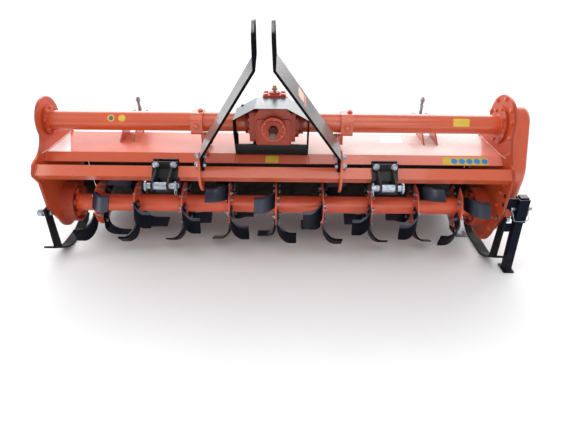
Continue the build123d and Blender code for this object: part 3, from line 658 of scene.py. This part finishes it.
# The linch pin's place, as X inwards from the bracket's middle, Y and Z, and its ring's centre.
LINCH_IN, LINCH_Y, LINCH_Z = 71, -340, 275
RING_Y, RING_Z = -352, 257
LINCH_RIPPLE = 500.0                 # past the ring's whole length, so it keeps six points only
linch_pin = turned([(4.6, -24), (5, -22), (5, 20), (3, 24)], 14)
hitch_work, linch_work = [], []
for name, sign in (("left", -1), ("right", 1)):
    hitch_x = middle("hitch_bracket_" + name, 0)
    grip = np.array([(hitch_x + step, HITCH_FACE, z) for step in (-GRIP_X, GRIP_X)
                     for z in (BEAM_Z + GRIP_Z, BEAM_Z - GRIP_Z)])
    under = grip[1::2]
    hitch_work.append(set_along(bolt(16), grip, (0, -1, 0)))
    hitch_work.append(set_along(turned([(8, 0), (8, STUD)], 12), under, (0, 1, 0)))
    hitch_work.append(set_along(bolt(16, nut=True), under + (0, STUD, 0), (0, 1, 0)))
    linch_x = hitch_x - sign * LINCH_IN
    linch_work.append(set_along(linch_pin, [(linch_x, LINCH_Y, LINCH_Z)], (0, 0, 1), (1, 0, 0)))
    linch_work.append(bead(circle(linch_x, RING_Y, RING_Z, 21, 60, 400, 61), 2.4, LINCH_RIPPLE, 10))
add_piece("hitch_bolts", hitch_work, zinc, "frame")
add_piece("linch_pins", linch_work, zinc, "frame")

# ---- Rotor -----------------------------------------------------------------------------------------
# Orange tube with nine flanges. Each carries three right-hand and three left-hand forged tines, in
# black paint that wears to steel at the cutting edge, with two zinc bolts to a tine.
# The rotor's orange is a brighter copy of the frame's: painted light that lifts the tube, which sits in the
# hood's shadow.
rotor_orange_painted_light = finish("rotor_orange_painted_light", (0.86, 0.125, 0.048), (0.76, 0.100, 0.038), rough=(0.3, 0.48), coat=0.3,
                      patch=7.0, bump=(220.0, 0.0004), worn=((0.20, 0.08, 0.05), 50.0, 0.73),
                      dust=(SOIL, 0.5, 0.2))
tine_paint = finish("tine_black_paint_and_painted_sheen", (0.003, 0.003, 0.006), (0.007, 0.007, 0.012), rough=(0.26, 0.46),
                    patch=14.0, bump=(160.0, 0.0008), worn=((0.12, 0.10, 0.09), 70.0, 0.74),
                    dust=((0.20, 0.15, 0.11), 0.25, 0.015))
# Faces turned upwards get a bluish grey laid over the black: painted reflection of the sky.
tine_top = facing(tine_paint, "Z", 0.25, 0.7)
over(tine_paint, tine_top, (0.035, 0.045, 0.075))
polish(tine_paint, tine_top, 0.2, 0.5, 0.03)
dress(rotor_orange_painted_light, "rotor_tube")
dress(tine_paint, "tines_right_hand", "tines_left_hand")
# Each flange's place and the angle of its first tine, upwards from the rear.
FLANGE_X = (-970, -756, -499, -244, 10, 266, 526, 779, 1015)
FIRST_ANGLE = (21, 45, 54, 67, 81, 102, 114, 3, 25)
# A tine's two bolts: how far out each is, and its turn from the tine's middle in radians.
BOLT_REACH, BOLT_TURN = np.array([84.0, 104.0]), np.array([0.155, -0.155])
HEAD_OUT, NUT_OUT = 12.0, 4.0        # how far heads and nuts sit from the flange's middle
small_bolt = turned([(8.4, -0.5, True), (9.2, 1, True), (9.2, 7.5, True), (7.6, 9.2)], 12, 6)
small_nut = turned([(9.2, -0.5, True), (9.2, 9, True), (7.0, 10.2), (5.6, 10.3), (5.6, 15)], 12, 6)
tine_work = []
for x, first in zip(FLANGE_X, FIRST_ANGLE):
    for hand, later in ((1, 0), (-1, 60)):
        turn = np.radians(first + later + np.arange(3)[:, None] * 120 + np.degrees(BOLT_TURN))
        reach = np.broadcast_to(BOLT_REACH, turn.shape)
        rear, up = (reach * np.cos(turn)).reshape(-1), (reach * np.sin(turn)).reshape(-1)
        spots = np.stack([np.full(6, float(x)), rear, up], -1)
        tine_work.append(set_along(small_bolt, spots + (hand * HEAD_OUT, 0, 0), (hand, 0, 0)))
        tine_work.append(set_along(small_nut, spots - (hand * NUT_OUT, 0, 0), (-hand, 0, 0)))
add_piece("tine_bolts", tine_work, zinc, "rotor")
ROTOR_R = 49
rotor_welds = [bead(circle(x + side * 4.5, 0, 0, ROTOR_R), 4.0, 7.0, 6) for x in FLANGE_X for side in (-1, 1)]
add_piece("rotor_welds", rotor_welds, rotor_orange_painted_light, "rotor")

# ---- Rotor bearings --------------------------------------------------------------------------------
# Cast housings on the side plates' inner faces, each with a ring of six bolts round the seal.
dress(cast_orange, "bearing_housing_left", "bearing_housing_right")
HOUSING_FACE, SEAL_BOLTS = 1108.0, 72
tall_bolt = turned([(16, -1), (16, 8), (13.5, 8.2, True), (14, 10, True), (14, 19, True), (12.5, 21),
                    (8, 21.5)], 24, 6)
rim = turned([(107, -1), (107, 13), (105, 15.5), (95, 15.5), (92, 12), (90, 0.5), (70, 0.3)], 72)
turn = np.radians(95 + sixth)
bearing_work, rims = [], []
for sign in (-1, 1):
    housing_face = np.full(6, sign * HOUSING_FACE)
    spots = np.stack([housing_face, SEAL_BOLTS * np.cos(turn), SEAL_BOLTS * np.sin(turn)], -1)
    bearing_work.append(set_along(tall_bolt, spots, (-sign, 0, 0)))
    rims.append(set_along(rim, [(sign * HOUSING_FACE, 0, 0)], (-sign, 0, 0)))
add_piece("bearing_bolts", bearing_work, red_bolt, "frame")
add_piece("bearing_rims", rims, cast_orange, "frame")

# ---- Side gear case --------------------------------------------------------------------------------
# Cast cover of the gear drive on the right plate, rounded at its outer edge, with two zinc oil plugs.
dress(orange, "gear_case")
case_face = edge("gear_case", 0, 1)
oil_plug = turned([(22, -1), (22, 3), (20, 5), (11, 5, True), (11, 12, True), (9, 13)], 24, 6)
plugs = set_along(oil_plug, [(case_face, -5, 250), (case_face, 0, 0)], (1, 0, 0))
add_piece("oil_plugs", [plugs], zinc, "frame")

# ---- Rear board, its hinge and spring rods ---------------------------------------------------------
# Folded levelling board in satin black, hung from a long ground hinge pin and pressed down by two zinc
# rods with springs. A short black cheek closes each end of the board beside the side plate.
board_paint = finish("satin_black_board", (0.010, 0.008, 0.008), (0.017, 0.014, 0.014), rough=(0.4, 0.6),
                     patch=5.0, bump=(240.0, 0.0003), worn=((0.14, 0.10, 0.08), 50.0, 0.75),
                     dust=(SOIL, 0.45, 0.13), specular=0.25)
steel = finish("ground_steel", (0.30, 0.27, 0.25), (0.19, 0.15, 0.13), rough=(0.28, 0.45), metal=1.0,
               patch=60.0, bump=(500.0, 0.0002), worn=((0.16, 0.09, 0.05), 90.0, 0.66))
dress(board_paint, "rear_board")
dress(steel, "board_hinge_pin")
dress(orange, "rod_guide_left", "rod_guide_right")
dress(zinc, "spring_rod_left", "spring_rod_right", "lug_pin_left", "lug_pin_right")
CHEEK = [(196, -66), (352, -128), (330, -30), (311, 110), (282, 150), (236, 84), (206, 0)]
cheeks = [flat(CHEEK, low, high) for low, high in ((-1155, -1150), (1150, 1155))]
add_piece("board_cheeks", cheeks, board_paint, "board")
LUG_PIN, GUIDE = np.array([350.0, 130.0]), np.array([346.0, 405.0])      # Y and Z
rod_way = unit(np.array([0, *(GUIDE - LUG_PIN)]))
COIL_R, COIL_PITCH = 11.0, 11.0
WIRE_RIPPLE = 900.0                  # past a wire's whole length, so it keeps six points only


def rod_wire(x, low, high, turns, count, wire):
    """Spring's wire round a rod, between two heights.

    A helix: the rod's line at each height, plus the coil's radius times the turn's cosine along X
    and its sine along the cross product of the rod's way and X. bead then keeps six of its points,
    so the wire is bent from one to the next and its turns are lost.
    """
    travel = np.linspace(0, 1, count)
    spin = (2 * pi * turns * travel)[:, None]
    climb = (low + (high - low) * travel - LUG_PIN[1]) / rod_way[2]
    line = np.array([x, *LUG_PIN]) + climb[:, None] * rod_way
    across = np.cos(spin) * (1, 0, 0) + np.sin(spin) * np.cross(rod_way, (1, 0, 0))
    return bead(line + COIL_R * across, wire, WIRE_RIPPLE, 10)


for name in ("left", "right"):
    bottom, top = edge("spring_" + name, 2, 0) + 3, edge("spring_" + name, 2, 1) - 3
    turns = max((top - bottom) / COIL_PITCH, 3)
    wire = rod_wire(middle("spring_" + name, 0), bottom, top, turns, int(turns * 24), 2.3)
    spring = add_piece("coil_" + name, [wire], zinc, "rod_" + name)
    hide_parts("spring_" + name)
upper_top = edge("spring_rod_right", 2, 1) - 10
upper_wire = rod_wire(middle("spring_rod_right", 0), 446, upper_top, 6.0, 140, 2.4)
add_piece("upper_coil_right", [upper_wire], zinc, "rod_right")

# ---- Skids -----------------------------------------------------------------------------------------
# Bent runners on their arms, in worn black paint that is dusty near the floor.
skid_paint = finish("skid_black_paint", (0.006, 0.006, 0.008), (0.011, 0.011, 0.013), rough=(0.5, 0.7),
                    patch=8.0, bump=(200.0, 0.0005), worn=((0.16, 0.13, 0.11), 60.0, 0.74),
                    dust=(SOIL, 0.12, 0.05), specular=0.08)
dress(skid_paint, "skid_left", "skid_right")

# ---- Parking stand ---------------------------------------------------------------------------------
# Square leg in a sleeve on the right plate, held by a zinc pin with a knob, a wing and a wire bow. A
# black web and an orange tab join the sleeve to the plate. Faces turned upwards above about 150 mm, on the
# leg and its sleeve, get a pale grey laid over the black: a painted reflection of the sky.
stand_paint = finish("stand_black_paint_and_painted_sheen", (0.003, 0.005, 0.012), (0.006, 0.009, 0.018), rough=(0.42, 0.58),
                     patch=9.0, bump=(260.0, 0.0003), worn=((0.14, 0.12, 0.10), 80.0, 0.75),
                     dust=(SOIL, 0.15, 0.08), specular=0.06)
top_sheen_share = times(stand_paint, facing(stand_paint, "Z", 0.3, 0.6), reaching(stand_paint, (0, 0, 1), 150, 165))
over(stand_paint, top_sheen_share, (0.30, 0.28, 0.30))
dress(stand_paint, "stand_bracket", "stand_leg")
dress(zinc, "stand_pin")
# Outlines in Z and X, for plates that stand across Y.
WEB = [(-22, 1178), (-22, 1232), (27, 1232), (27, 1178)]
TAB = [(66, 1179), (72, 1206), (84, 1217), (92, 1217), (117, 1190), (117, 1179)]
WING = [(62, 1288), (66, 1300), (76, 1306), (106, 1304), (106, 1288)]
add_piece("stand_web", [flat(WEB, -235, -229, axis=1)], stand_paint, "frame")
add_piece("stand_tab", [flat(TAB, -244, -237, axis=1)], plate_orange, "frame")
knob = turned([(7, -1), (7, 8), (12, 9), (12, 13), (8, 15), (6, 24), (3, 25)], 20)
cross_pin = turned([(3.4, -19), (4.4, -15), (4.4, 15), (3.4, 19)], 14)
pin_end = turned([(9, 0), (9, 5), (7, 6), (7, 12), (5, 13)], 20)
BOW = [(1212, -238, 114), (1209, -258, 108), (1211, -266, 90), (1214, -267, 72), (1221, -267, 62),
       (1233, -267, 59), (1262, -267, 59), (1284, -267, 61), (1297, -262, 64), (1303, -250, 72),
       (1306, -238, 84)]
pin_work = [set_along(knob, [(1230.5, -232, 114)], (-1, 0, 0.05)),
            set_along(cross_pin, [(1212, -232, 115)], (0, 0.2, 1), (1, 0, 0)),
            set_along(pin_end, [(1300, -232, 115)], (1, 0, -0.04)),
            flat(WING, -233, -229, axis=1),
            bead(BOW, 1.9, WIRE_RIPPLE, 10)]
add_piece("stand_pin_bow", pin_work, zinc, "frame")

# ---- Bare stickers ---------------------------------------------------------------------------------
# Plain foils without words: yellow ones on the tube and the hood's lip, a grey disc on one of them,
# peach and pink on the right bar, a white one on the deck, and blue discs along the lip.


def foil(name, colour):
    """A thin printed foil: satin, with faint yellowing patches."""
    shade = tuple(part * 0.86 for part in colour)
    return finish(name, colour, shade, rough=(0.3, 0.42), patch=30.0, bump=(90.0, 0.0001))


def patch(name, centre, along, up, size, material, out=0.4, curve=None, power=0.25):
    """Sticker: an outline of 48 points and smaller copies of it, lifted by its own thickness.

    Each way, a point is half the size times the cosine or sine raised to power, with its sign kept,
    which makes an ellipse at 1 and nears a rectangle as power falls. On a tube, curve's axis Y and Z,
    radius and angle, the height is wrapped as an arc at the tube's radius.
    """
    width, height = size
    angle = np.linspace(0, 2 * pi, 48, endpoint=False)
    u = np.sign(np.cos(angle)) * np.abs(np.cos(angle)) ** power * width / 2
    v = np.sign(np.sin(angle)) * np.abs(np.sin(angle)) ** power * height / 2
    along, up = unit(np.array(along, float)), unit(np.array(up, float))
    normal = np.cross(along, up)
    rings = []
    for share, lift in ((1.0, 0.0), (1.0, out * 0.8), (0.985, out), (0.66, out), (0.33, out)):
        if curve:
            axis_y, axis_z, radius, turn = curve
            bend = radians(turn) - v * share / radius
            rings.append(np.stack([centre[0] + u * share, axis_y + (radius + lift) * np.cos(bend),
                                   axis_z + (radius + lift) * np.sin(bend)], -1))
        else:
            rings.append(np.array(centre) + (u * share)[:, None] * along + (v * share)[:, None] * up
                         + lift * normal)
    return add_piece(name, [np.array(rings)[None]], material, "frame", 60)


yellow, grey = foil("yellow_foil", (0.66, 0.47, 0.045)), foil("grey_foil", (0.10, 0.11, 0.12))
ACROSS, REARWARD, UPWARD = (1, 0, 0), (0, 1, 0), (0, 0, 1)
EMBLEM_TURN, STICKER_TURN = 147, 152
emblem_tube = (TUBE_Y, TUBE_Z, TUBE_R, EMBLEM_TURN)
for label, x in (("tube_emblem_left", -826), ("tube_emblem_right", -771)):
    patch(label, (x, 0, 0), ACROSS, UPWARD, (36, 36), yellow, curve=emblem_tube, power=1.0)
patch("tube_emblem_face", (-826, 0, 0), ACROSS, UPWARD, (24, 24), grey, out=0.7, curve=emblem_tube, power=1.0)
patch("tube_sticker_right", (948, 0, 0), ACROSS, UPWARD, (84, 42), yellow,
      curve=(TUBE_Y, TUBE_Z, TUBE_R, STICKER_TURN))

# The right bar's stickers lie on its inner face: how far up the bar and across it, and their sizes.
peach, pink = foil("peach_foil", (0.78, 0.50, 0.37)), foil("pink_foil", (0.62, 0.20, 0.16))
BAR_FOOT, BAR_UP, BAR_REAR = (np.array(line) for line in ((326, -258, 380), (-0.524, -0.3259, 0.7869),
                                                          (0, 0.9239, 0.3827)))
for label, up, across, size, tone in (("bar_sticker_upper", 378, 72, (62, 46), peach),
                                      ("bar_sticker_lower", 344, 66, (76, 18), pink)):
    patch(label, BAR_FOOT + up * BAR_UP + across * BAR_REAR, BAR_REAR, BAR_UP, size, tone)

white = foil("white_foil", (0.74, 0.75, 0.74))
patch("deck_label", (642, 146, 335), ACROSS, REARWARD, (116, 98), white, power=0.12)
LIP_Y, LIP_Z, LIP_RUN, LIP_RISE = -124, 303, 48, 32
lip_up = unit(np.array([0, LIP_RUN, float(LIP_RISE)]))


def lip_at(x, share):
    """A point a fifth of a millimetre off the hood's lip: its foot plus a share of its run and rise."""
    return np.array([x, LIP_Y + LIP_RUN * share, LIP_Z + LIP_RISE * share]) + np.array([0, -0.55, 0.83]) * 0.2


patch("lip_sticker_middle", lip_at(-9, 0.40), ACROSS, lip_up, (66, 42), yellow, power=0.12)
patch("lip_sticker_right", lip_at(977, 0.41), ACROSS, lip_up, (232, 46), yellow, power=0.12)
blue = foil("blue_foil", (0.03, 0.25, 0.62))
disc = turned([(16.2, 0.3), (16.2, 0.7), (14.5, 0.8), (7, 0.8)], 28)
disc_spots = [lip_at(x, 0.41) for x in (920, 959, 997, 1036, 1075)]
discs = set_along(disc, disc_spots, np.cross(ACROSS, lip_up), ACROSS)
add_piece("lip_discs", [discs], blue, "frame")
